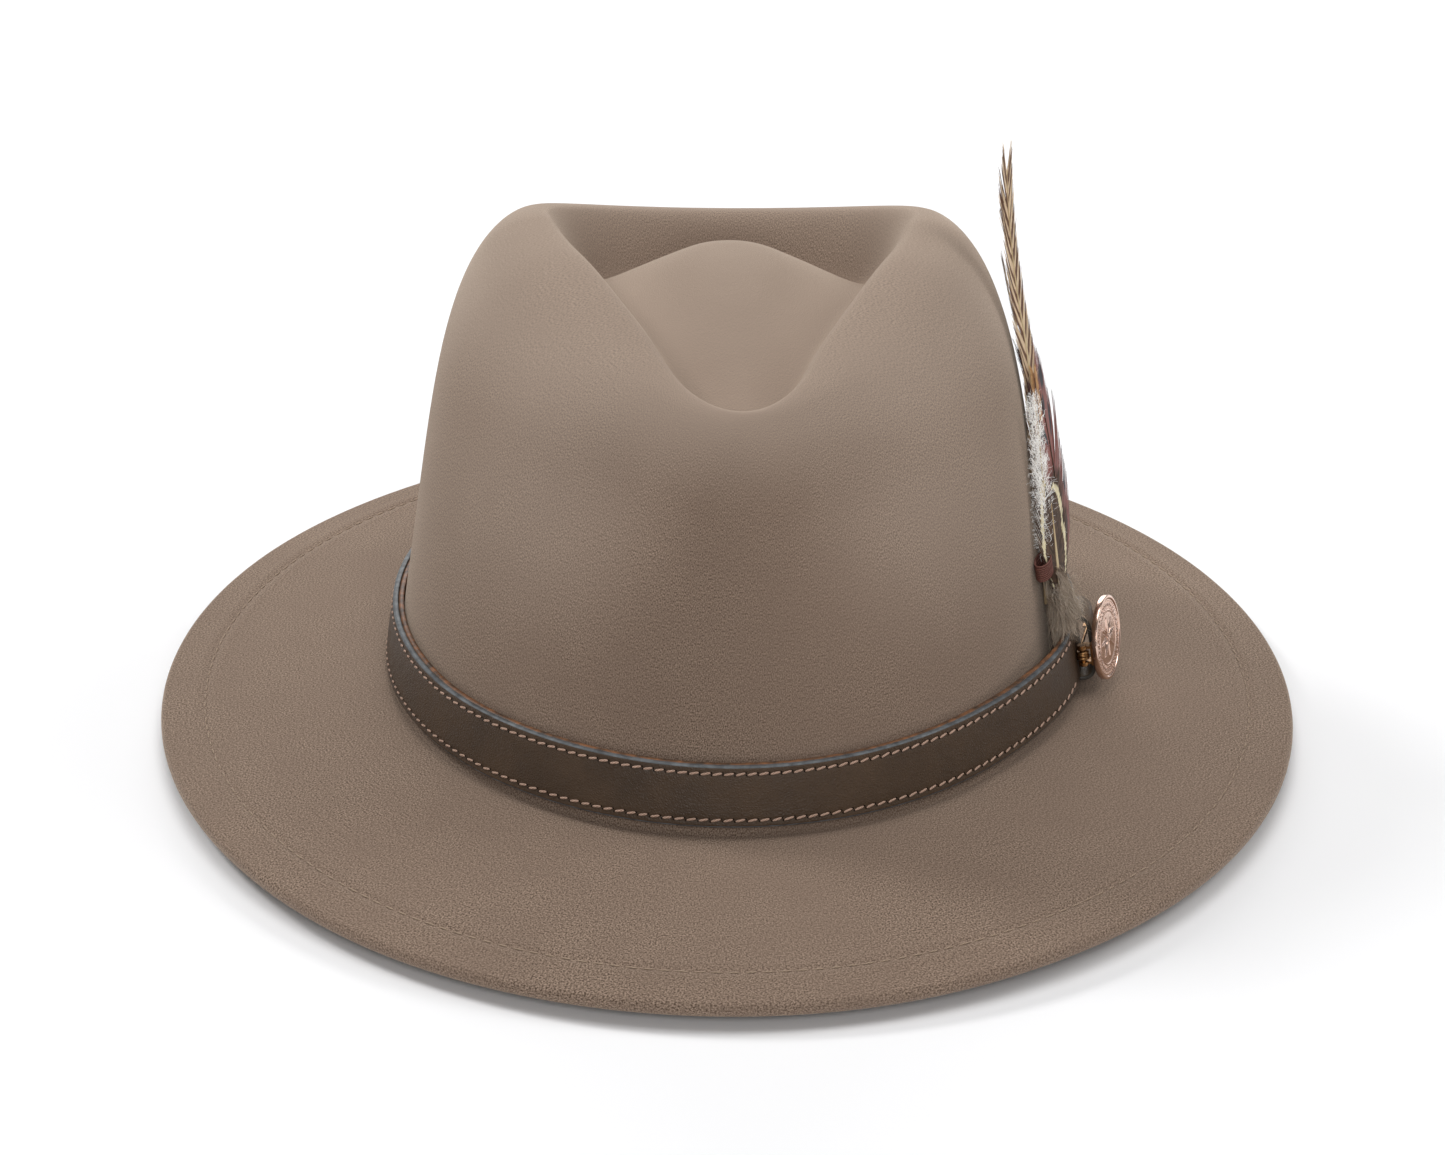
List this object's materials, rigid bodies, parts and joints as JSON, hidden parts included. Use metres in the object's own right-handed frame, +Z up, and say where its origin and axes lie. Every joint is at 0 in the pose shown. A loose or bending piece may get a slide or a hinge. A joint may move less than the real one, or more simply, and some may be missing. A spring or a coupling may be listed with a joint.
{
  "type": "fedora hat",
  "caption": "Felt fedora hat with a teardrop crown, stitched leather band, a feather spray tucked behind it and a coin brooch pinned to it.",
  "frame": {"origin": "on the surface the hat stands on, under the middle of the brim's outline", "axes": "+Z up through the crown, -Y towards the front of the hat, +X towards the wearer's left, where the feathers are"},
  "size_m": [0.2958, 0.3328, 0.1515],
  "materials": {
    "felt": "soft wool felt, brushed nap",
    "felt_thread": "matte twisted thread",
    "sweatband_leather": "smooth tan-brown leather",
    "sweatband_thread": "matte thread",
    "ribbon": "ribbed grosgrain",
    "label": "plain woven tab",
    "satin": "satin lining",
    "band_leather": "waxed smooth leather with painted edges",
    "band_backing": "natural tan leather",
    "keeper_leather": "waxed smooth leather with painted edges",
    "band_thread": "waxed linen thread",
    "gold_wire": "polished wire",
    "rose_gold": "polished rose gold plate",
    "grey_down": "loose afterfeather",
    "white_down": "loose white down",
    "quill": "horny quill",
    "binding_thread": "waxed thread",
    "barred_feather": "barred vane",
    "amber_feather": "amber vane",
    "chestnut_feather": "chestnut vane with dark spots",
    "dark_feather": "dark vane with a pale shaft"
  },
  "bodies": {
    "root": {"band_keeper": "keeper_leather", "band_stitching_lower": "band_thread", "band_stitching_upper": "band_thread", "brim_edge_stitching": "felt_thread", "brooch_pin": "gold_wire", "felt_body": "felt", "hat_band": "band_leather", "hat_band_backing": "band_backing", "keeper_stitching": "band_thread", "lining_side": "satin", "lining_tip": "satin", "size_label": "label", "sweatband": "sweatband_leather", "sweatband_bow": "ribbon", "sweatband_reed": "sweatband_leather", "sweatband_stitching": "sweatband_thread"},
    "brooch": {"coin_disc": "rose_gold", "coin_bracket": "rose_gold", "hinge_rivet": "gold_wire", "catch_base": "rose_gold"},
    "catch": {"catch_roller": "gold_wire"},
    "feathers": {"feather_long": "barred_feather", "feather_long_back": "barred_feather", "feather_amber": "amber_feather", "feather_down_white": "white_down", "feather_chestnut": "chestnut_feather", "feather_window": "dark_feather", "feather_fluff": "grey_down", "quill_wrap": "quill", "quill_binding": "binding_thread"}
  },
  "joints": [
    {"name": "coin_swing", "type": "hinge", "parent": "root", "child": "brooch", "pos_m": [0.09188, -0.02068, 0.02544], "axis": [0.1437, -0.0163, -0.9895], "range_deg": [0, 70]},
    {"name": "catch_roll", "type": "hinge", "parent": "brooch", "child": "catch", "pos_m": [0.09479, -0.00236, 0.02556], "axis": [0.225, 0.9742, 0.0166], "range_deg": [0, 130]},
    {"name": "feather_lift", "type": "slide", "parent": "root", "child": "feathers", "axis": [-0.1437, 0.0163, 0.9895], "range_m": [0, 0.06]}
  ]
}
